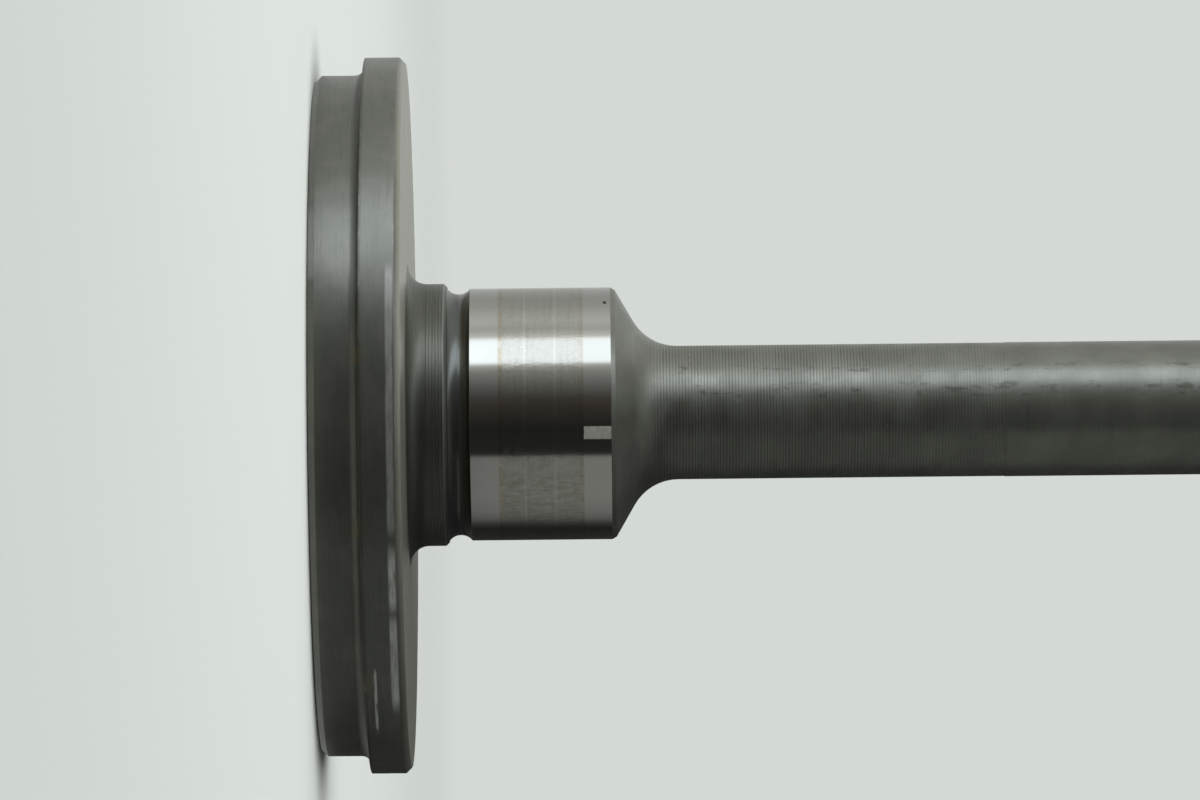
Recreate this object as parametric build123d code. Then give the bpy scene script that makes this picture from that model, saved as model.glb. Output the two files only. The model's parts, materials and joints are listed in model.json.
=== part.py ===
from build123d import *

import math
import os

# Flanged stepped shaft, turned from one piece of steel. Millimetres.
# The shaft axis is +Z. The origin is the centre of the flange's seat face, and the
# part stands on that face with the shaft pointing up.

# ---- diameters, and heights of one step above the next ----
spigot_diameter = 81.0  # locating diameter beside the seat face
rim_height = 2.1  # flange rim above the spigot
journal_diameter = 30.0  # ground bearing seat
hub_height = 0.6  # collar beside the flange, above the journal
neck_diameter = 15.9  # turned stretch behind the journal
run_height = 0.04  # finer stretch above the turned one

# ---- lengths along the axis ----
spigot_length = 5.9  # seat face to rim
rim_width = 4.8  # rim to the flange's inner face
hub_length = 4.7  # flange's inner face to the grinding relief
journal_length = 17.0  # relief to the journal's outer corner
neck_length = 42.3  # toe of the shoulder cone to the finer stretch
run_length = 58.6  # finer stretch out to the free end

# ---- grinding relief, shoulder cone and transition ----
relief_radius = 1.74  # its section is part of a circle
relief_depth = 0.66  # below the journal
cone_angle = 60.0  # slope of the shoulder against the axis, degrees
transition_radius = 6.0  # hollow that runs the cone into the neck

# ---- edges and inner corners ----
seat_chamfer = 0.8  # outer edge of the seat face
spigot_fillet = 1.2  # inner corner of spigot and rim
rim_chamfer = 0.7  # rim edge on the shaft side
hub_fillet = 2.3  # inner corner of flange and hub
hub_chamfer = 0.4  # hub edge at the relief
journal_chamfer = 0.35  # edge of journal and cone
run_ramp = 0.06  # length of the small step from neck to finer stretch
end_chamfer = 1.0  # free end

# ---- radii ----
spigot_radius = spigot_diameter / 2
rim_radius = spigot_radius + rim_height
journal_radius = journal_diameter / 2
hub_radius = journal_radius + hub_height
neck_radius = neck_diameter / 2
run_radius = neck_radius + run_height
relief_bottom = journal_radius - relief_depth

# ---- stations, counted along the axis from the seat face ----
slope = math.radians(cone_angle)
rim_start = spigot_length
flange_face = rim_start + rim_width
relief_start = flange_face + hub_length
relief_half_width = math.sqrt(relief_radius**2 - (relief_radius - relief_depth) ** 2)
relief_middle = relief_start + relief_half_width
journal_start = relief_middle + relief_half_width
journal_end = journal_start + journal_length
cone_toe = journal_end + (journal_radius - neck_radius) / math.tan(slope)
run_start = cone_toe + neck_length
overall_length = run_start + run_length

# ---- corners of the half section, as (distance from the axis, station) ----
seat_corner = (spigot_radius, 0)
spigot_corner = (spigot_radius, rim_start)
rim_outer_corner = (rim_radius, rim_start)
rim_inner_corner = (rim_radius, flange_face)
hub_foot = (hub_radius, flange_face)
hub_corner = (hub_radius, relief_start)
relief_edge = (journal_radius, relief_start)
journal_corner = (journal_radius, journal_end)
cone_foot = (neck_radius, cone_toe)
neck_end = (neck_radius, run_start)
run_foot = (run_radius, run_start + run_ramp)
end_corner = (run_radius, overall_length)


def turned_outline():
    """The half section with sharp corners, from the axis out along the seat and back."""
    points = [
        (0, 0),
        seat_corner,
        spigot_corner,
        rim_outer_corner,
        rim_inner_corner,
        hub_foot,
        hub_corner,
        relief_edge,
        journal_corner,
        cone_foot,
        neck_end,
        run_foot,
        end_corner,
        (0, overall_length),
    ]
    return make_face(Polyline(*points, close=True))


def corner(outline, point):
    """The vertex of the outline that lies at a named corner."""
    return outline.vertices().sort_by_distance((*point, 0))[0]


def half_section():
    """The turned outline with its edges broken, its inner corners rounded and its relief."""
    outline = turned_outline()
    chamfers = [
        (seat_corner, seat_chamfer),
        (rim_inner_corner, rim_chamfer),
        (hub_corner, hub_chamfer),
        (journal_corner, journal_chamfer),
        (end_corner, end_chamfer),
    ]
    fillets = [
        (spigot_corner, spigot_fillet),
        (hub_foot, hub_fillet),
        (cone_foot, transition_radius),
    ]
    for point, size in chamfers:
        outline = chamfer(corner(outline, point), size)
    for point, size in fillets:
        outline = fillet(corner(outline, point), size)
    relief = Circle(relief_radius)
    return outline - Pos(relief_bottom + relief_radius, relief_middle) * relief


def stepped_shaft():
    """The whole shaft: the half section, stood up in the XZ plane and turned about +Z."""
    return revolve(Plane.XZ * half_section(), Axis.Z)


os.makedirs("parts", exist_ok=True)
export_step(stepped_shaft(), "parts/stepped_shaft.step")

print(f"overall length {overall_length:.2f} mm, flange diameter {2 * rim_radius:.2f} mm")
print(f"journal from {journal_start:.3f} to {journal_end:.3f} mm")
print(f"finer stretch from {run_start:.3f} mm")
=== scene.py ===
import json
import math

import bpy
import numpy as np
from mathutils import Matrix

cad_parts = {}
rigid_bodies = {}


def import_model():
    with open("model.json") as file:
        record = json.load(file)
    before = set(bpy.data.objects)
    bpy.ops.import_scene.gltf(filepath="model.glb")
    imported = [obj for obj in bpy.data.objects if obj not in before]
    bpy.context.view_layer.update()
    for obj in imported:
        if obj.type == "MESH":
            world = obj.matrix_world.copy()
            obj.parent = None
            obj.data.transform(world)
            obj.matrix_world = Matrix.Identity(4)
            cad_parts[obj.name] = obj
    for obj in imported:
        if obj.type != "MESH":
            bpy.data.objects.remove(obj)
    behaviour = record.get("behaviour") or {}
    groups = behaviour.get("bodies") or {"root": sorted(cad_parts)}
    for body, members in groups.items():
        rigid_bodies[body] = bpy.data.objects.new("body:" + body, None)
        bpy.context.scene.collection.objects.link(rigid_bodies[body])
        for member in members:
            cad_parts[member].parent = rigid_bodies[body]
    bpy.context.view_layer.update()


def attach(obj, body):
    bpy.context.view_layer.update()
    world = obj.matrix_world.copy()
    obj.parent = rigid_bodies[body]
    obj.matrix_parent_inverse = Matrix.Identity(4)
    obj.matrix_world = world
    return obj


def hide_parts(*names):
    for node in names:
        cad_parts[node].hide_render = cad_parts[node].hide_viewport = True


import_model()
partName = "stepped_shaft"


def meshObject(name, points, faces, faceMaterials=None, smooth=True):
    mesh = bpy.data.meshes.new(name)
    mesh.from_pydata(points, [], faces)
    mesh.polygons.foreach_set("use_smooth", np.full(len(mesh.polygons), smooth))
    if faceMaterials is not None:
        mesh.polygons.foreach_set("material_index", np.asarray(faceMaterials, np.int32))
    mesh.update()
    made = bpy.data.objects.new(name, mesh)
    bpy.context.scene.collection.objects.link(made)
    return made


class NodeDesk:
    # keeps one node tree and lays small nodes into it, each call giving back its output socket
    def __init__(self, tree):
        self.tree = tree
        tree.nodes.clear()

    def add(self, kind, settings=None, **inputs):
        node = self.tree.nodes.new(kind)
        for name, value in (settings or {}).items():
            setattr(node, name, value)
        for name, value in inputs.items():
            self.feed(node.inputs[name.replace("_", " ")], value)
        return node

    def feed(self, socket, value):
        if isinstance(value, bpy.types.NodeSocket):
            self.tree.links.new(value, socket)
        else:
            socket.default_value = value

    def math(self, operation, first, second=0.0, third=0.0):
        node = self.tree.nodes.new("ShaderNodeMath")
        node.operation = operation
        for socket, value in zip(node.inputs, (first, second, third)):
            self.feed(socket, value)
        return node.outputs[0]


shaftForm = {  # millimetres, the same as the CAD
    "spigotRadius": 40.5, "rimRadius": 42.6, "hubRadius": 15.6, "journalRadius": 15.0,
    "neckRadius": 7.95, "runRadius": 7.99,
    "spigotLength": 5.9, "rimWidth": 4.8, "hubLength": 4.7, "journalLength": 17.0,
    "neckLength": 42.3, "runLength": 58.6,
    "reliefRadius": 1.74, "reliefDepth": 0.66, "coneAngle": 60.0, "hollowRadius": 6.0,
    "seatChamfer": 0.8, "spigotFillet": 1.2, "rimChamfer": 0.7, "hubFillet": 2.3,
    "hubChamfer": 0.4, "journalChamfer": 0.35, "endChamfer": 1.0, "runRamp": 0.06,
    "edgeBreak": 0.12, "sharpBreak": 0.05, "journalBreak": 0.1,
    "reliefSteps": 25, "turns": 256, "longestStep": 2.5,
}


def roundedLine(corners):
    # A straight run between corners, each corner replaced by the arc that touches both runs.
    # The arc's tangent length is its radius times tan(half the turning angle).
    points, stretches = [], []
    for number, (radius, station, rounding, stretch) in enumerate(corners):
        here = np.array((radius, station), float)
        if rounding == 0:
            points.append(here[None])
            stretches.append([stretch])
            continue
        before = np.array(corners[number - 1][:2], float) - here
        after = np.array(corners[number + 1][:2], float) - here
        before /= np.linalg.norm(before)
        after /= np.linalg.norm(after)
        opening = math.acos(np.clip(before @ after, -1, 1))
        turning = math.pi - opening
        tangent = rounding * math.tan(turning / 2)
        middle = before + after
        middle /= np.linalg.norm(middle)
        centre = here + middle * rounding / math.sin(opening / 2)
        steps = max(3, int(math.degrees(turning) / 7))
        share = np.linspace(0, 1, steps + 1)[:, None]
        first, last = here + before * tangent - centre, here + after * tangent - centre
        weightFirst = np.sin((1 - share) * turning) / math.sin(turning)
        weightLast = np.sin(share * turning) / math.sin(turning)
        points.append(centre + first * weightFirst + last * weightLast)
        stretches.append([stretch] * (steps + 1))
    return np.concatenate(points), sum(stretches, [])


def shaftStations(form):
    # Heights over the seat face: each stretch starts where the one below it ends. The relief is as
    # wide as the chord that its circle cuts in the journal's surface.
    halfRelief = math.sqrt(form["reliefRadius"] ** 2
                           - (form["reliefRadius"] - form["reliefDepth"]) ** 2)
    drop = form["journalRadius"] - form["neckRadius"]
    coneHeight = drop / math.tan(math.radians(form["coneAngle"]))
    names = ["rimStart", "flangeFace", "reliefStart", "reliefMiddle", "journalStart", "journalEnd",
             "coneToe", "runStart", "top"]
    steps = [form["spigotLength"], form["rimWidth"], form["hubLength"], halfRelief, halfRelief,
             form["journalLength"], coneHeight, form["neckLength"], form["runLength"]]
    return dict(zip(names, np.cumsum(steps).tolist()))


def shaftProfile(form):
    # The half section from the middle of the seat face, out and up to the middle of the free end.
    at = shaftStations(form)
    slope = math.radians(form["coneAngle"])
    spigot, rim, hub = form["spigotRadius"], form["rimRadius"], form["hubRadius"]
    journal, neck, run = form["journalRadius"], form["neckRadius"], form["runRadius"]
    seat, edge, lip = form["seatChamfer"], form["rimChamfer"], form["hubChamfer"]
    cut, end = form["journalChamfer"], form["endChamfer"]
    small, sharp, soft = form["edgeBreak"], form["sharpBreak"], form["journalBreak"]
    # the relief is an arc of a circle whose centre lies outside the journal
    sweep = math.asin((at["reliefMiddle"] - at["reliefStart"]) / form["reliefRadius"])
    centre = journal - form["reliefDepth"] + form["reliefRadius"]
    relief = [(centre - form["reliefRadius"] * math.cos(t),
               at["reliefMiddle"] + form["reliefRadius"] * math.sin(t), 0, "relief")
              for t in np.linspace(-sweep, sweep, form["reliefSteps"])]
    corners = [  # radius, height, rounding, stretch
        (0, 0, 0, "seat"),
        (spigot - seat, 0, small, "flange"),
        (spigot, seat, small, "flange"),
        (spigot, at["rimStart"], form["spigotFillet"], "flange"),
        (rim, at["rimStart"], small, "flange"),
        (rim, at["flangeFace"] - edge, small, "flange"),
        (rim - edge, at["flangeFace"], small, "flange"),
        (hub, at["flangeFace"], form["hubFillet"], "hub"),
        (hub, at["reliefStart"] - lip, small, "hub"),
        (hub - lip, at["reliefStart"], sharp, "hub"),
        *relief[:-1],
        (journal, at["journalStart"], sharp, "journal"),
        (journal, at["journalEnd"] - cut, soft, "neck"),
        (journal - cut * math.sin(slope), at["journalEnd"] + cut * math.cos(slope), soft, "neck"),
        (neck, at["coneToe"], form["hollowRadius"], "neck"),
        (neck, at["runStart"], 0, "run"),
        (run, at["runStart"] + form["runRamp"], 0, "run"),
        (run, at["top"] - end, small, "run"),
        (run - end, at["top"], small, "end"),
        (0, at["top"], 0, "end"),
    ]
    line, stretches = roundedLine(corners)
    # long runs get rings at even steps, so that no face is a long sliver
    length = np.linalg.norm(np.diff(line, axis=0), axis=1)
    pieces = np.maximum(1, np.ceil(length / form["longestStep"])).astype(int)
    start = np.repeat(np.arange(len(pieces)), pieces)
    share = np.concatenate([np.arange(n) / n for n in pieces])[:, None]
    fine = line[start] * (1 - share) + line[start + 1] * share
    return np.vstack([fine, line[-1:]]), [stretches[s] for s in start]


def lathe(name, line, turns, zones):
    # Every point of the half section goes round the axis: x = r cos t, y = r sin t, z = station.
    # The first and last points lie on the axis, where the rings close to single points.
    angle = np.arange(turns) * 2 * math.pi / turns
    ring = np.stack([np.cos(angle), np.sin(angle)], 1)
    inner = line[1:-1]
    wall = np.empty((len(inner), turns, 3))
    wall[..., :2] = inner[:, None, :1] * ring[None]
    wall[..., 2] = inner[:, 1:2]
    points = np.vstack([[(0, 0, line[0, 1])], wall.reshape(-1, 3), [(0, 0, line[-1, 1])]]) / 1000
    here = 1 + np.arange(turns)
    following = np.roll(here, -1)
    step = (np.arange(len(inner) - 1) * turns)[:, None]
    quads = np.stack([here + step, following + step,
                      following + step + turns, here + step + turns], -1).reshape(-1, 4)
    last = len(points) - 1
    base = (len(inner) - 1) * turns
    bottom = np.stack([np.zeros(turns, int), following, here], -1)
    lid = np.stack([np.full(turns, last), here + base, following + base], -1)
    faces = [*map(tuple, bottom.tolist()), *map(tuple, quads.tolist()), *map(tuple, lid.tolist())]
    zones = np.asarray(zones)
    paint = np.concatenate([np.full(turns, zones[0]), np.repeat(zones[1:-1], turns),
                            np.full(turns, zones[-1])])
    made = meshObject(name, points, faces, paint)
    # each ring faces square to its two neighbouring runs, the longer one counting for more
    run = np.diff(line, axis=0)
    run = (run[:-1] + run[1:])
    run /= np.linalg.norm(run, axis=1)[:, None]
    facing = np.empty_like(wall)
    facing[..., :2] = run[:, None, 1:] * ring[None]
    facing[..., 2] = -run[:, :1]
    facing = np.vstack([[(0, 0, -1)], facing.reshape(-1, 3), [(0, 0, 1)]])
    made.data.normals_split_custom_set_from_vertices(facing)
    return made


class SteelDesk(NodeDesk):
    # a node desk with the places and patterns that all the steel finishes share, in millimetres
    def __init__(self, name):
        self.material = bpy.data.materials.new(name)
        self.material.use_nodes = True
        super().__init__(self.material.node_tree)
        place = self.add("ShaderNodeTexCoord").outputs["Object"]
        self.place = self.add("ShaderNodeVectorMath", {"operation": "SCALE"},
                              Vector=place, Scale=1000.0).outputs[0]
        parts = self.add("ShaderNodeSeparateXYZ", Vector=self.place).outputs
        self.across, self.depth, self.along = parts[0], parts[1], parts[2]
        self.near = self.math("LESS_THAN", self.depth, 0.0)  # 1 on the side towards -Y

    def ring(self, around, along):
        # a vector that changes slowly round the axis and quickly along it, without a seam
        flat = self.add("ShaderNodeCombineXYZ", X=self.across, Y=self.depth).outputs[0]
        turned = self.add("ShaderNodeVectorMath", {"operation": "NORMALIZE"}, Vector=flat).outputs[0]
        turned = self.add("ShaderNodeVectorMath", {"operation": "SCALE"}, Vector=turned,
                          Scale=around).outputs[0]
        lift = self.add("ShaderNodeCombineXYZ", Z=self.math("MULTIPLY", self.along, along))
        both = self.add("ShaderNodeVectorMath", {"operation": "ADD"}, Vector=turned)
        self.feed(both.inputs[1], lift.outputs[0])
        return both.outputs[0]

    def noise(self, vector, scale, detail=2.0, roughness=0.5):
        return self.add("ShaderNodeTexNoise", Vector=vector, Scale=scale, Detail=detail,
                        Roughness=roughness).outputs["Fac"]

    def ramp(self, value, low, high, bottom=0.0, top=1.0):
        return self.add("ShaderNodeMapRange", {"interpolation_type": "SMOOTHSTEP"}, Value=value,
                        From_Min=low, From_Max=high, To_Min=bottom, To_Max=top).outputs[0]

    def window(self, value, low, high, soft):
        # 1 between low and high, fading to 0 over the soft width outside each
        rise = self.ramp(value, low - soft, low)
        return self.math("MULTIPLY", rise, self.ramp(value, high, high + soft, 1.0, 0.0))

    def times(self, *values):
        result = values[0]
        for value in values[1:]:
            result = self.math("MULTIPLY", result, value)
        return result

    def anyOf(self, *shares):
        # the largest of several shares
        result = shares[0]
        for share in shares[1:]:
            result = self.math("MAXIMUM", result, share)
        return result

    def lines(self, place, pitch):
        # a wave along the axis, 0 to 1, one ridge a pitch
        turn = self.math("MULTIPLY", place, 2 * math.pi / pitch)
        return self.math("MULTIPLY_ADD", self.math("SINE", turn), 0.5, 0.5)

    def tint(self, share, first, second):
        mix = self.tree.nodes.new("ShaderNodeMix")
        mix.data_type = "RGBA"
        self.feed(mix.inputs[0], share)
        for socket, colour in ((mix.inputs[6], first), (mix.inputs[7], second)):
            self.feed(socket, colour if isinstance(colour, bpy.types.NodeSocket) else (*colour, 1))
        return mix.outputs[2]

    def blend(self, share, first, second):
        # first where share is 0, second where it is 1
        rest = self.math("SUBTRACT", 1.0, share)
        return self.math("MULTIPLY_ADD", share, second, self.math("MULTIPLY", rest, first))

    def bump(self, height, distance, strength=1.0):
        # height is 0 to 1 and stands distance millimetres high
        return self.add("ShaderNodeBump", Height=height, Distance=distance / 1000,
                        Strength=strength).outputs[0]

    def finish(self, colour, roughness, normal, metallic):
        shader = self.add("ShaderNodeBsdfPrincipled", Base_Color=colour, Metallic=metallic,
                          Roughness=roughness, Normal=normal)
        self.add("ShaderNodeOutputMaterial", Surface=shader.outputs[0])
        return self.material


at = shaftStations(shaftForm)  # millimetres over the seat face

flangeLook = {
    "colour": (0.215, 0.22, 0.19), "pale": (0.255, 0.255, 0.22), "dark": (0.17, 0.175, 0.15),
    # the corner colour is painted shade for the fillet where the rim starts
    "worn": (0.62, 0.62, 0.60), "stain": (0.30, 0.22, 0.09), "corner": (0.06, 0.06, 0.045),
    "face": (0.50, 0.49, 0.41),  # the rim's chamfer and the inner face, painted pale: partly rubbed metal, partly a painted sheen of the light on that face
    "metallic": 0.86, "roughness": 0.36, "wornMetallic": 0.5, "wornRoughness": 0.33,
    "bumpDepth": 0.012,  # millimetres
    "wearBand": (at["flangeFace"] - 1.5, at["flangeFace"] - 0.95), "wearSoft": 0.28,
    "wearReach": [(-15.5, 12.0, 0.55), (16.5, 21.0, 0.9), (24.5, 32.5, 0.85)],  # from, to, strength
    "streakAt": at["rimStart"] + 1.3, "streakReach": (29.8, 36.3),
    "nickBands": [(at["rimStart"], at["rimStart"] + 0.2),
                  (at["flangeFace"] - 0.75, at["flangeFace"] - 0.58)],
    "cornerShadeBand": (at["rimStart"] - 0.35, at["rimStart"] + 0.02),
    "rubbedSheenFrom": (at["flangeFace"] - 0.72, at["flangeFace"] - 0.05),
    "stains": [(-7.0, at["rimStart"] - 0.2), (13.0, at["rimStart"] - 0.4),
               (31.0, at["rimStart"] + 0.2)],  # across, along
}


def rimWear(desk, look):
    # the share of bright wear: a ragged strip along the rim, a short streak, nicks on both corners
    ragged = desk.noise(desk.ring(9.0, 1.2), 1.7, 4.0, 0.7)
    reach = desk.anyOf(*(desk.times(desk.window(desk.across, low, high, 2.5), strength)
                         for low, high, strength in look["wearReach"]))
    strip = desk.times(desk.window(desk.along, *look["wearBand"], look["wearSoft"]), reach,
                       desk.near, desk.ramp(ragged, 0.2, 0.6, 0.25, 1.0))
    streak = desk.times(desk.window(desk.along, look["streakAt"] - 0.1, look["streakAt"] + 0.1, 0.12),
                        desk.window(desk.across, *look["streakReach"], 1.0), desk.near,
                        desk.ramp(ragged, 0.36, 0.52), 0.8)
    chipped = desk.noise(desk.ring(14.0, 0.6), 1.1, 4.0, 0.7)
    nicks = desk.anyOf(*(desk.window(desk.along, *band, 0.12) for band in look["nickBands"]))
    nicks = desk.times(nicks, desk.ramp(chipped, 0.5, 0.75), 0.22)
    return desk.anyOf(strip, streak, nicks)


def flangeFinish(look):
    desk = SteelDesk("mattCoatedSteel")
    cloud = desk.noise(desk.place, 0.16, 4.0, 0.6)
    grain = desk.noise(desk.place, 3.2, 3.0, 0.6)
    lathed = desk.noise(desk.ring(1.5, 1.0), 5.0, 3.0, 0.65)
    colour = desk.tint(desk.ramp(cloud, 0.40, 0.66), look["colour"], look["pale"])
    colour = desk.tint(desk.ramp(lathed, 0.45, 0.8, 0.0, 0.7), colour, look["dark"])
    # paler towards the inner face: partly rubbed metal, partly a painted sheen
    rubbedAndSheen = desk.times(desk.ramp(desk.along, *look["rubbedSheenFrom"], 0.0, 0.85),
                        desk.ramp(cloud, 0.2, 0.5, 0.75, 1.0))
    colour = desk.tint(rubbedAndSheen, colour, look["face"])
    # painted shade darkening the corner where the rim starts, and a few brown stains
    corner = desk.times(desk.window(desk.along, *look["cornerShadeBand"], 0.5), 0.55)
    colour = desk.tint(corner, colour, look["corner"])
    spots = desk.anyOf(*(desk.times(desk.window(desk.across, across - 0.5, across + 0.5, 0.9),
                                    desk.window(desk.along, along - 0.25, along + 0.25, 0.5))
                         for across, along in look["stains"]))
    spots = desk.times(spots, desk.near, desk.ramp(grain, 0.3, 0.6), 0.4)
    colour = desk.tint(spots, colour, look["stain"])
    bright = rimWear(desk, look)
    colour = desk.tint(bright, colour, look["worn"])
    roughness = desk.ramp(grain, 0.2, 0.8, look["roughness"] - 0.04, look["roughness"] + 0.05)
    roughness = desk.blend(bright, roughness, look["wornRoughness"])
    metallic = desk.blend(bright, look["metallic"], look["wornMetallic"])
    height = desk.math("ADD", desk.times(lathed, 0.6), desk.times(grain, 0.4))
    return desk.finish(colour, roughness, desk.bump(height, look["bumpDepth"]), metallic)

hubLook = {
    "colour": (0.14, 0.145, 0.12), "ridge": (0.21, 0.215, 0.19), "groove": (0.085, 0.087, 0.07),
    "edgeHighlight": (0.27, 0.275, 0.25), "relief": (0.15, 0.157, 0.145), "wall": (0.085, 0.082, 0.068),
    "metallic": 0.86, "roughness": 0.38, "reliefRoughness": 0.24,
    "pitch": 0.37, "depth": 0.018,  # millimetres
    "ridgesFrom": at["flangeFace"] + 2.6, "edge": at["reliefStart"] - shaftForm["hubChamfer"],
    "reliefStart": at["reliefStart"], "shadedWallFrom": at["reliefStart"] + 1.9,
}


def hubFinish(look):
    desk = SteelDesk("turnedHubSteel")
    uneven = desk.noise(desk.ring(0.6, 1.0), 2.2, 3.0, 0.6)
    # ridges of the tool, pushed about so that no two are alike
    ridge = desk.lines(desk.math("ADD", desk.along, desk.times(uneven, 0.5)), look["pitch"])
    fine = desk.noise(desk.ring(0.8, 1.0), 9.0, 2.0, 0.6)
    height = desk.math("ADD", desk.times(ridge, desk.ramp(uneven, 0.3, 0.7)), desk.times(fine, 0.8))
    onHub = desk.window(desk.along, look["ridgesFrom"], look["edge"] - 0.05, 0.5)
    height = desk.times(height, desk.ramp(onHub, 0, 1, 0.15, 1.0))
    shown = desk.times(desk.ramp(ridge, 0.1, 0.9, 0.0, 0.7), desk.ramp(onHub, 0, 1, 0.2, 1.0))
    colour = desk.tint(shown, look["colour"], look["ridge"])
    colour = desk.tint(desk.ramp(fine, 0.5, 0.85, 0.0, 0.75), colour, look["groove"])
    # a thin pale line on the hub's edge: a painted highlight
    colour = desk.tint(desk.window(desk.along, look["edge"] - 0.03, look["edge"] + 0.1, 0.08),
                       colour, look["edgeHighlight"])
    relief = desk.ramp(desk.along, look["reliefStart"] - 0.1, look["reliefStart"] + 0.1)
    colour = desk.tint(relief, colour, look["relief"])
    # darker and browner on the relief's far wall: painted shade in the recess
    colour = desk.tint(desk.ramp(desk.along, look["shadedWallFrom"] - 0.5, look["shadedWallFrom"] + 0.1),
                       colour, look["wall"])
    roughness = desk.blend(relief, look["roughness"], look["reliefRoughness"])
    return desk.finish(colour, roughness, desk.bump(height, look["depth"]), look["metallic"])


journalLook = {
    "clean": (0.62, 0.615, 0.56), "worn": (0.555, 0.545, 0.485), "amber": (0.40, 0.31, 0.17),
    "dull": (0.42, 0.40, 0.325), "bright": (0.72, 0.71, 0.66), "speck": (0.06, 0.035, 0.02),
    # the patch colour is a painted reflection, paler than the clean steel
    "mattAndReflectionPatch": (0.80, 0.76, 0.70),
    "cleanRoughness": 0.11, "wornRoughness": 0.13,
    "patchRoughness": 0.34, "patchMetallic": 0.55,  # the first is added to the roughness there
    "bumpDepth": 0.006,  # millimetres
    "wornBand": (at["journalStart"] + 3.92, at["journalStart"] + 13.27),
    "amberAt": at["journalStart"] + 3.57,
    "faintLines": [at["journalStart"] + 6.47, at["journalStart"] + 10.02],
    "speckAt": (-13.1, at["journalStart"] + 15.97),  # across, along
    "patchAcross": (1.6, 2.85),
    "patchAlong": (at["journalStart"] + 13.47, at["journalStart"] + 16.57),
    "wavyAcross": (8.0, 12.3),
}


def journalFinish(look):
    desk = SteelDesk("groundSteel")
    grind = desk.noise(desk.ring(2.0, 1.0), 11.0, 2.0, 0.7)
    mottle = desk.noise(desk.place, 0.9, 5.0, 0.7)
    speckle = desk.noise(desk.place, 4.5, 3.0, 0.7)
    ripple = desk.noise(desk.ring(24.0, 0.4), 1.1, 3.0, 0.5)
    worn = desk.window(desk.along, *look["wornBand"], 0.18)
    colour = desk.tint(worn, look["clean"], look["worn"])
    streaks = desk.noise(desk.ring(1.2, 1.0), 2.3, 3.0, 0.6)
    colour = desk.tint(desk.times(worn, desk.ramp(streaks, 0.45, 0.8, 0.0, 0.4)), colour,
                       look["dull"])
    colour = desk.tint(desk.times(worn, desk.ramp(mottle, 0.48, 0.72, 0.0, 0.25)), colour,
                       look["dull"])
    colour = desk.tint(desk.times(worn, desk.ramp(speckle, 0.55, 0.7, 0.0, 0.6)), colour,
                       look["bright"])
    # a tarnish line where the bearing's edge sat, a weaker one at its other edge
    patchy = desk.ramp(mottle, 0.35, 0.65, 0.3, 1.0)
    amber = desk.times(desk.window(desk.along, look["amberAt"] - 0.05, look["amberAt"] + 0.12, 0.35),
                       0.6, patchy)
    far = desk.times(desk.window(desk.along, look["wornBand"][1] - 0.3, look["wornBand"][1], 0.3),
                     0.22, patchy)
    colour = desk.tint(desk.math("MAXIMUM", amber, far), colour, look["amber"])
    # fine waves round one part of the worn band
    waves = desk.noise(desk.ring(34.0, 0.5), 1.1, 2.0, 0.5)
    waves = desk.times(desk.ramp(waves, 0.46, 0.60, 0.0, 0.55), worn, desk.near,
                       desk.window(desk.across, *look["wavyAcross"], 1.5))
    colour = desk.tint(waves, colour, look["dull"])
    for station in look["faintLines"]:
        line = desk.window(desk.along, station - 0.03, station + 0.03, 0.22)
        colour = desk.tint(desk.times(line, 0.35), colour, look["bright"])
    across, along = look["speckAt"]
    speck = desk.times(desk.window(desk.across, across - 0.08, across + 0.08, 0.12),
                       desk.window(desk.along, along - 0.12, along + 0.12, 0.16), desk.near)
    colour = desk.tint(speck, colour, look["speck"])
    # a small matt patch beside the worn band, a little dappled, rougher and painted brighter: a painted
    # reflection
    mattAndReflectionPatch = desk.times(desk.window(desk.along, *look["patchAlong"], 0.2),
                       desk.window(desk.across, *look["patchAcross"], 0.3), desk.near)
    dapple = desk.noise(desk.place, 2.6, 2.0, 0.5)
    mattAndReflectionPatch = desk.times(desk.ramp(mattAndReflectionPatch, 0.25, 1.0), desk.ramp(dapple, 0.25, 0.75, 0.62, 1.0))
    colour = desk.tint(mattAndReflectionPatch, colour, look["mattAndReflectionPatch"])
    roughness = desk.blend(worn, look["cleanRoughness"],
                           desk.ramp(mottle, 0.3, 0.7, look["wornRoughness"] - 0.03,
                                     look["wornRoughness"] + 0.04))
    roughness = desk.math("MULTIPLY_ADD", mattAndReflectionPatch, look["patchRoughness"], roughness)
    wavy = desk.math("ADD", desk.times(ripple, 1.3), desk.times(speckle, 0.3))
    wavy = desk.times(worn, desk.math("SUBTRACT", wavy, 0.8))
    height = desk.math("ADD", desk.times(grind, 0.25), wavy)
    return desk.finish(colour, roughness, desk.bump(height, look["bumpDepth"]),
                       desk.blend(mattAndReflectionPatch, 1.0, look["patchMetallic"]))


shankLook = {
    "colour": (0.235, 0.24, 0.205), "pale": (0.275, 0.28, 0.24), "dark": (0.16, 0.165, 0.14),
    "groove": (0.105, 0.108, 0.088), "ridge": (0.33, 0.335, 0.30),
    "smudge": (0.085, 0.085, 0.07), "fleck": (0.42, 0.43, 0.41),
    "metallic": 0.86, "roughness": 0.36, "smoothRoughness": 0.32,
    "pitch": 0.37, "feedDepth": 0.02,  # millimetres
    "fineStart": at["runStart"], "marksGrow": (at["coneToe"] - 0.7, at["coneToe"] + 2.3),
    "marksFade": (at["runStart"] - 23.5, at["runStart"] - 1.5),
    "rubsFrom": (at["coneToe"] + 2.8, at["coneToe"] + 4.3),
    "rubBands": [(-5.35, -4.75, 0.35), (-3.1, -1.9, 0.5)],  # across: from, to, soft edge
}


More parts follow.
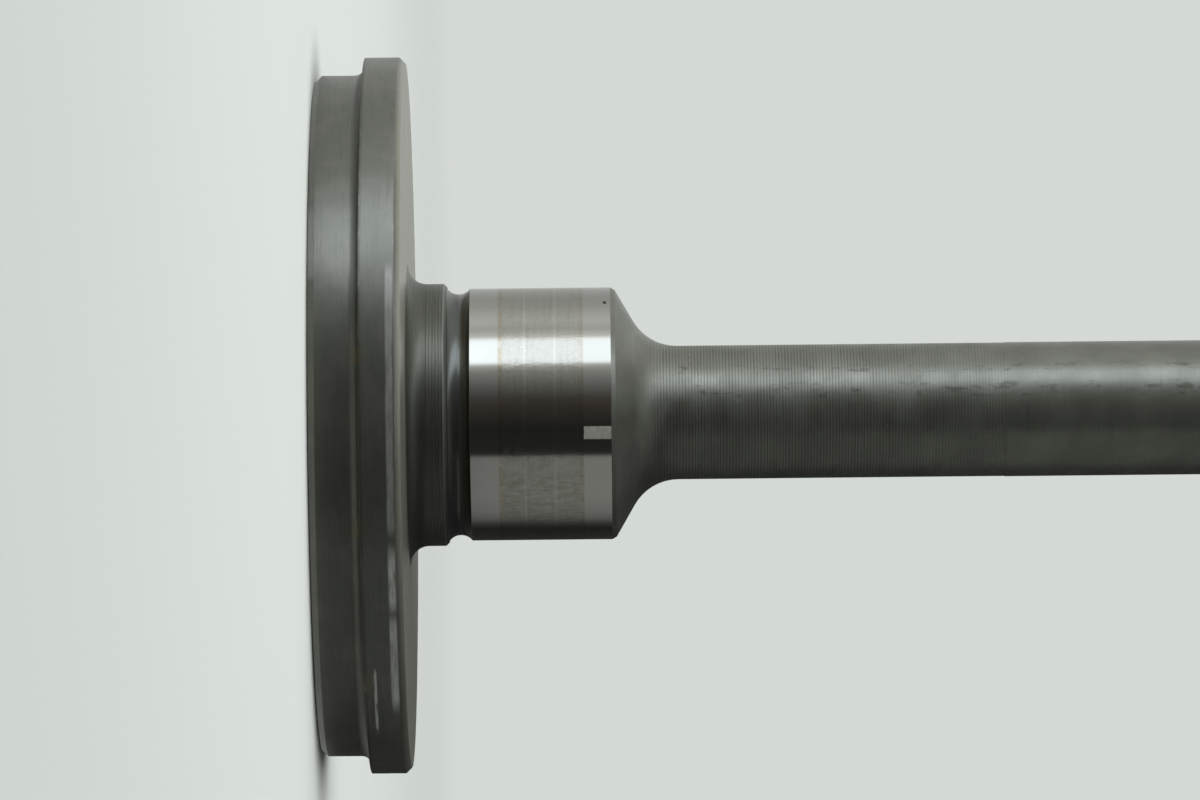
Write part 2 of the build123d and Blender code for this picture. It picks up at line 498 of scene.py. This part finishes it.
def shankFinish(look):
    desk = SteelDesk("turnedShankSteel")
    rough = desk.ramp(desk.along, look["fineStart"] - 0.1, look["fineStart"] + 0.1, 1.0, 0.0)
    cloud = desk.noise(desk.place, 0.22, 4.0, 0.6)
    grain = desk.noise(desk.place, 3.4, 3.0, 0.6)
    lathed = desk.noise(desk.ring(0.5, 1.0), 2.6, 2.0, 0.7)
    feed = desk.lines(desk.along, look["pitch"])
    fine = desk.noise(desk.ring(0.6, 1.0), 9.0, 2.0, 0.6)
    colour = desk.tint(desk.ramp(cloud, 0.38, 0.66), look["colour"], look["pale"])
    # the feed marks start faintly on the cone and grow fainter again towards the run
    uneven = desk.times(rough, desk.ramp(lathed, 0.3, 0.7, 0.5, 1.0),
                        desk.ramp(desk.along, *look["marksGrow"], 0.12, 1.0),
                        desk.ramp(desk.along, *look["marksFade"], 1.0, 0.4))
    colour = desk.tint(desk.times(uneven, desk.ramp(feed, 0.0, 0.55, 0.7, 0.0)), colour, look["groove"])
    colour = desk.tint(desk.times(uneven, desk.ramp(feed, 0.5, 1.0, 0.0, 0.55)), colour, look["ridge"])
    colour = desk.tint(desk.ramp(lathed, 0.55, 0.8, 0.0, 0.5), colour, look["dark"])
    # short dark rubs and pale flecks, longer along the shaft than round it
    rubs = desk.noise(desk.ring(11.0, 0.5), 0.75, 3.0, 0.65)
    places = desk.anyOf(*(desk.window(desk.across, *band) for band in look["rubBands"]))
    rubs = desk.times(desk.ramp(rubs, 0.54, 0.66), 0.55, places, desk.near,
                      desk.ramp(desk.along, *look["rubsFrom"]))
    flecks = desk.noise(desk.ring(30.0, 2.2), 0.8, 3.0, 0.6)
    flecks = desk.times(desk.ramp(flecks, 0.70, 0.76), 0.7)
    colour = desk.tint(rubs, colour, look["smudge"])
    colour = desk.tint(flecks, colour, look["fleck"])
    roughness = desk.blend(rough, look["smoothRoughness"], look["roughness"])
    roughness = desk.math("ADD", roughness, desk.ramp(grain, 0.2, 0.8, -0.04, 0.05))
    # longer brighter and duller stretches
    polish = desk.noise(desk.ring(1.6, 0.3), 1.0, 2.0, 0.5)
    polish = desk.times(desk.ramp(polish, 0.35, 0.65, 0.06, -0.06), desk.blend(rough, 0.3, 1.0))
    roughness = desk.math("ADD", roughness, polish)
    height = desk.math("ADD", desk.times(uneven, feed),
                       desk.times(fine, desk.blend(rough, 0.3, 0.45)))
    height = desk.math("ADD", height, desk.times(grain, desk.blend(rough, 0.04, 0.32)))
    return desk.finish(colour, roughness, desk.bump(height, look["feedDepth"]), look["metallic"])


profile, stretches = shaftProfile(shaftForm)
finishes = [flangeFinish(flangeLook), hubFinish(hubLook), journalFinish(journalLook),
            shankFinish(shankLook)]
print("finishes made:", len(finishes))
finishOf = {"seat": 0, "flange": 0, "hub": 1, "relief": 1, "journal": 2, "neck": 3, "run": 3, "end": 3}
shaft = lathe("turnedShaft", profile, shaftForm["turns"], [finishOf[s] for s in stretches])
for finish in finishes:
    shaft.data.materials.append(finish)
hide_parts(partName)
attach(shaft, "root")
print("turned body:", len(shaft.data.polygons), "faces")


studio = {
    "pale": (0.658, 0.694, 0.665),  # floor far off, and the backdrop
    "fill": 0.12,  # strength of the backdrop's light on matt surfaces
    "floorColour": (0.72, 0.76, 0.725), "floorRings": (0.3, 1.0, 4.0), "floorTurns": 64,
    "clearRadius": 0.25, "fadeRadius": 0.9,  # metres from the axis, where the floor turns backdrop
    "lamps": [  # name, angle round, radius, height of the middle, width, height, brightness, down
        ("keyLamp", 62, 0.90, 0.52, 0.449, 1.0, 3.0, False),
        ("sideLamp", 112, 1.00, 0.60, 0.80, 1.0, 2.2, False),
        ("topLamp", 90, 0.2, 1.3, 1.4, 1.4, 2.45, True),
    ],
}
surroundForm = {
    "radius": 1.3, "height": 1.2, "roofGlow": 0.2,
    # degrees round from the viewer's side towards the lit side, glow level with the part, glow away
    "glow": [
        (-180, 0.03, 0.03), (-128, 0.015, 0.02), (-119, 0.05, 0.03), (-112, 0.13, 0.04),
        (-101, 0.2, 0.05), (-80, 0.25, 0.05), (-40, 0.25, 0.05), (-37, 0.02, 0.02),
        (-12, 0.016, 0.02), (0, 0.032, 0.03), (8, 0.045, 0.05), (15, 0.065, 0.06),
        (25, 0.14, 0.09), (40, 0.30, 0.2), (46, 0.5, 0.4), (48, 1.55, 2.0), (72, 1.55, 2.0),
        (75, 0.75, 0.7), (84, 0.5, 0.5), (94, 0.62, 0.6), (116, 0.42, 0.5), (131, 0.38, 0.5),
        (165, 0.5, 0.6), (180, 0.65, 0.7),
    ],
    "tint": (0.96, 0.985, 0.975),
    "warmTint": (1.0, 0.80, 0.72), "warmAt": 6, "warmReach": 18, "warmFrom": 0.6,  # degrees, metres
    "coolTint": (0.92, 0.99, 1.1), "coolAt": 60, "coolReach": 14, "coolSoft": 2,  # degrees
    # on the floor: radius, height, share of the away level, share of the turn, plain share, plain glow
    "floorRows": [
        (0.0398, 0.00005, 1, 0.50, 0.8, 0.45), (0.046, 0.0004, 1, 0.58, 0.8, 0.20),
        (0.056, 0.0004, 1, 0.65, 0, 0), (0.075, 0.0004, 1, 0.74, 0, 0),
        (0.10, 0.0004, 1, 0.81, 0, 0), (0.19, 0.0004, 1, 0.90, 0, 0),
        (0.45, 0.0004, 1, 0.96, 0, 0), (0.7, 0.0004, 0, 0.98, 0, 0),
    ],
    "wallRows": [(0.0004, 0), (0.13, 0), (0.26, 1)],  # height, share of the away level
    "roofRows": [(0.6, 0.4), (0.2, 0.7), (0.01, 1.0)],  # radius, share of the roof's glow
}


def glossOnly(thing):
    thing.visible_camera = False
    thing.visible_diffuse = False
    thing.visible_shadow = False
    thing.visible_transmission = False
    thing.visible_volume_scatter = False


def towards(degrees):
    # 0 is the viewer's side, -Y, and 90 the lit side, -X
    turn = math.radians(degrees)
    return np.array((-math.sin(turn), -math.cos(turn), 0.0))


def makeFloor():
    # a flat ring grid: x = r cos t, y = r sin t, z = 0
    radius = np.array(studio["floorRings"])
    around = studio["floorTurns"]
    angle = np.arange(around) * 2 * math.pi / around
    points = np.stack([np.outer(radius, np.cos(angle)), np.outer(radius, np.sin(angle)),
                       np.zeros((len(radius), around))], -1).reshape(-1, 3)
    points = np.vstack([[(0, 0, 0)], points])
    here = 1 + np.arange(around)
    following = np.roll(here, -1)
    faces = np.stack([np.zeros(around, int), here, following], -1).tolist()
    for ring in range(0, around * (len(radius) - 1), around):
        faces += np.stack([here + ring, here + ring + around,
                           following + ring + around, following + ring], -1).tolist()
    floor = meshObject("floor", points, faces)
    material = bpy.data.materials.new("paleFloor")
    material.use_nodes = True
    desk = NodeDesk(material.node_tree)
    place = desk.add("ShaderNodeTexCoord").outputs["Object"]
    reach = desk.add("ShaderNodeVectorMath", {"operation": "LENGTH"}, Vector=place).outputs["Value"]
    fade = desk.add("ShaderNodeMapRange", {"interpolation_type": "SMOOTHSTEP"}, Value=reach,
                    From_Min=studio["clearRadius"], From_Max=studio["fadeRadius"]).outputs[0]
    near = desk.add("ShaderNodeBsdfDiffuse", Color=(*studio["floorColour"], 1)).outputs[0]
    far = desk.add("ShaderNodeEmission", Color=(*studio["pale"], 1)).outputs[0]
    both = desk.add("ShaderNodeMixShader", Fac=fade)
    desk.feed(both.inputs[1], near)
    desk.feed(both.inputs[2], far)
    desk.add("ShaderNodeOutputMaterial", Surface=both.outputs[0])
    floor.data.materials.append(material)


def makeSurround(form):
    # A drum round the part with a bottom just over the floor and a roof, seen only in reflections:
    # x = -r sin t, y = -r cos t, row after row of radius and height.
    angles = np.radians(np.linspace(-180, 180, 361))
    far, top = form["radius"], form["height"]
    rows = np.array([*form["floorRows"],
                     *((far, height, share, 1, 0, 0) for height, share in form["wallRows"]),
                     (far, top, 1, 1, 0, 0),
                     *((radius, top, 1, 1, plain, form["roofGlow"])
                       for radius, plain in form["roofRows"])])
    points = np.stack([np.outer(rows[:, 0], -np.sin(angles)), np.outer(rows[:, 0], -np.cos(angles)),
                       np.repeat(rows[:, 1:2], 361, 1)], -1).reshape(-1, 3)
    here = np.arange(360) + 361 * np.arange(len(rows) - 1)[:, None]
    faces = np.stack([here, here + 1, here + 362, here + 361], -1).reshape(-1, 4).tolist()
    drum = meshObject("surround", points, faces, smooth=False)
    stops = np.array(form["glow"], float)
    # near the part a spot on the floor is met at a smaller turn than the same direction far away
    turned = np.degrees(angles) / rows[:, 3:4]
    level, away = (np.interp(turned, stops[:, 0], stops[:, n]) for n in (1, 2))
    glow = level * (1 - rows[:, 2:3]) + away * rows[:, 2:3]
    glow = glow * (1 - rows[:, 4:5]) + rows[:, 5:6] * rows[:, 4:5]
    # the dim stretch behind the viewer is a little red, the bright stretch a little blue
    warm = np.clip(1 - np.abs(turned - form["warmAt"]) / form["warmReach"], 0, 1)
    warm = (warm * (rows[:, 0:1] > form["warmFrom"]))[..., None]
    cool = (form["coolReach"] - np.abs(turned - form["coolAt"])) / form["coolSoft"]
    cool = np.clip(cool, 0, 1)[..., None]
    tint = np.array(form["tint"]) * (1 - warm) + np.array(form["warmTint"]) * warm
    tint = tint * (1 - cool) + np.array(form["coolTint"]) * cool
    paint = np.concatenate([glow[..., None] * tint, np.ones((len(rows), 361, 1))], -1)
    shade = drum.data.attributes.new("glow", "FLOAT_COLOR", "POINT")
    shade.data.foreach_set("color", paint.ravel().astype(np.float32))
    material = bpy.data.materials.new("surroundCloth")
    material.use_nodes = True
    desk = NodeDesk(material.node_tree)
    colour = desk.add("ShaderNodeAttribute", {"attribute_name": "glow"}).outputs["Color"]
    light = desk.add("ShaderNodeEmission", Color=colour)
    desk.add("ShaderNodeOutputMaterial", Surface=light.outputs[0])
    drum.data.materials.append(material)
    glossOnly(drum)


def makeLamp(name, degrees, radius, middle, width, height, brightness, facingDown):
    lamp = bpy.data.lights.new(name, "AREA")
    lamp.shape = "RECTANGLE"
    lamp.size, lamp.size_y = width, height
    lamp.energy = brightness * math.pi * width * height
    made = bpy.data.objects.new(name, lamp)
    made.location = towards(degrees) * radius + np.array((0, 0, middle))
    made.rotation_euler = (0, 0, 0) if facingDown else (math.pi / 2, 0, -math.radians(degrees))
    made.visible_camera = False
    made.visible_glossy = False  # the surround gives the reflections
    bpy.context.scene.collection.objects.link(made)


def makeWorld():
    world = bpy.data.worlds.new("studio")
    bpy.context.scene.world = world
    world.use_nodes = True
    desk = NodeDesk(world.node_tree)
    path = desk.add("ShaderNodeLightPath")
    seen = desk.math("MAXIMUM", path.outputs["Is Camera Ray"], path.outputs["Is Glossy Ray"])
    seen = desk.math("MAXIMUM", seen, path.outputs["Is Transmission Ray"])
    strength = desk.add("ShaderNodeMapRange", Value=seen, To_Min=studio["fill"], To_Max=1.0)
    back = desk.add("ShaderNodeBackground", Color=(*studio["pale"], 1),
                    Strength=strength.outputs[0])
    desk.add("ShaderNodeOutputWorld", Surface=back.outputs[0])


makeFloor()
makeSurround(surroundForm)
for lamp in studio["lamps"]:
    makeLamp(*lamp)
makeWorld()
print("studio set")


cameraSetup = {
    "distance": 0.9233, "lens": 232.5, "sensor": 36.0,
    "station": 0.03343,  # height on the shaft that the view is centred on
    "offset": 0.001582,  # from the axis towards the top of the view
    "tilt": 0.585,  # degrees
}


def makeCamera(setup):
    data = bpy.data.cameras.new("viewer")
    data.lens, data.sensor_width = setup["lens"], setup["sensor"]
    data.clip_start, data.clip_end = 0.01, 50
    made = bpy.data.objects.new("viewer", data)
    tilt = math.radians(setup["tilt"])
    right = np.array((math.sin(tilt), 0, math.cos(tilt)))
    up = np.array((-math.cos(tilt), 0, math.sin(tilt)))
    back = np.array((0.0, -1.0, 0.0))
    place = np.array((0, 0, setup["station"])) + up * setup["offset"] + back * setup["distance"]
    matrix = np.eye(4)
    matrix[:3, 0], matrix[:3, 1], matrix[:3, 2], matrix[:3, 3] = right, up, back, place
    made.matrix_world = Matrix(matrix.tolist())
    bpy.context.scene.collection.objects.link(made)
    bpy.context.scene.camera = made


makeCamera(cameraSetup)
bpy.context.scene.view_settings.view_transform = "Standard"
print("camera set")
